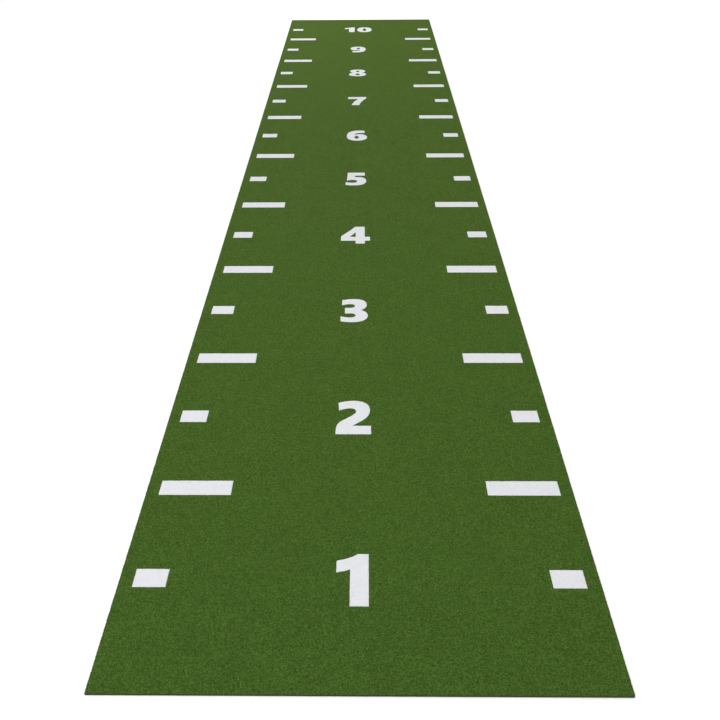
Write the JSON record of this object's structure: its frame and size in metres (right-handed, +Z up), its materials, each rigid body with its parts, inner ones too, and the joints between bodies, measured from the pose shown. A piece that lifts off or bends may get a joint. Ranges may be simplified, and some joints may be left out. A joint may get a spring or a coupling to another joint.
{
  "type": "practice mat",
  "caption": "Long strip of short green artificial grass with white let-in numerals and marks along its length, on a cushioned base, for practising on.",
  "frame": {"origin": "middle of the underside, on the surface the mat lies on", "axes": "+X across the mat to the right as its numerals are read, +Y along it from the first numeral to the last, +Z up"},
  "size_m": [2, 10.065, 0.015],
  "materials": {
    "green_grass": "short dense artificial grass, matt, mottled mid green",
    "white_grass": "short dense artificial grass, matt, white",
    "woven_cloth": "woven tape cloth coated with latex, dark",
    "foam_rubber": "fine-celled foam rubber, matt, dark grey"
  },
  "bodies": {
    "root": {"cushion_base": "foam_rubber", "primary_backing": "woven_cloth", "green_pile": "green_grass", "green_plug_4": "green_grass", "green_plug_6": "green_grass", "green_plug_8_upper": "green_grass", "green_plug_8_lower": "green_grass", "green_plug_9": "green_grass", "green_plug_10_zero": "green_grass", "number_1": "white_grass", "number_2": "white_grass", "number_3": "white_grass", "number_4": "white_grass", "number_5": "white_grass", "number_6": "white_grass", "number_7": "white_grass", "number_8": "white_grass", "number_9": "white_grass", "number_10_one": "white_grass", "number_10_zero": "white_grass", "short_mark_left_1": "white_grass", "short_mark_right_1": "white_grass", "short_mark_left_2": "white_grass", "short_mark_right_2": "white_grass", "short_mark_left_3": "white_grass", "short_mark_right_3": "white_grass", "short_mark_left_4": "white_grass", "short_mark_right_4": "white_grass", "short_mark_left_5": "white_grass", "short_mark_right_5": "white_grass", "short_mark_left_6": "white_grass", "short_mark_right_6": "white_grass", "short_mark_left_7": "white_grass", "short_mark_right_7": "white_grass", "short_mark_left_8": "white_grass", "short_mark_right_8": "white_grass", "short_mark_left_9": "white_grass", "short_mark_right_9": "white_grass", "short_mark_left_10": "white_grass", "short_mark_right_10": "white_grass", "long_mark_left_1": "white_grass", "long_mark_right_1": "white_grass", "long_mark_left_2": "white_grass", "long_mark_right_2": "white_grass", "long_mark_left_3": "white_grass", "long_mark_right_3": "white_grass", "long_mark_left_4": "white_grass", "long_mark_right_4": "white_grass", "long_mark_left_5": "white_grass", "long_mark_right_5": "white_grass", "long_mark_left_6": "white_grass", "long_mark_right_6": "white_grass", "long_mark_left_7": "white_grass", "long_mark_right_7": "white_grass", "long_mark_left_8": "white_grass", "long_mark_right_8": "white_grass", "long_mark_left_9": "white_grass", "long_mark_right_9": "white_grass"}
  },
  "joints": []
}
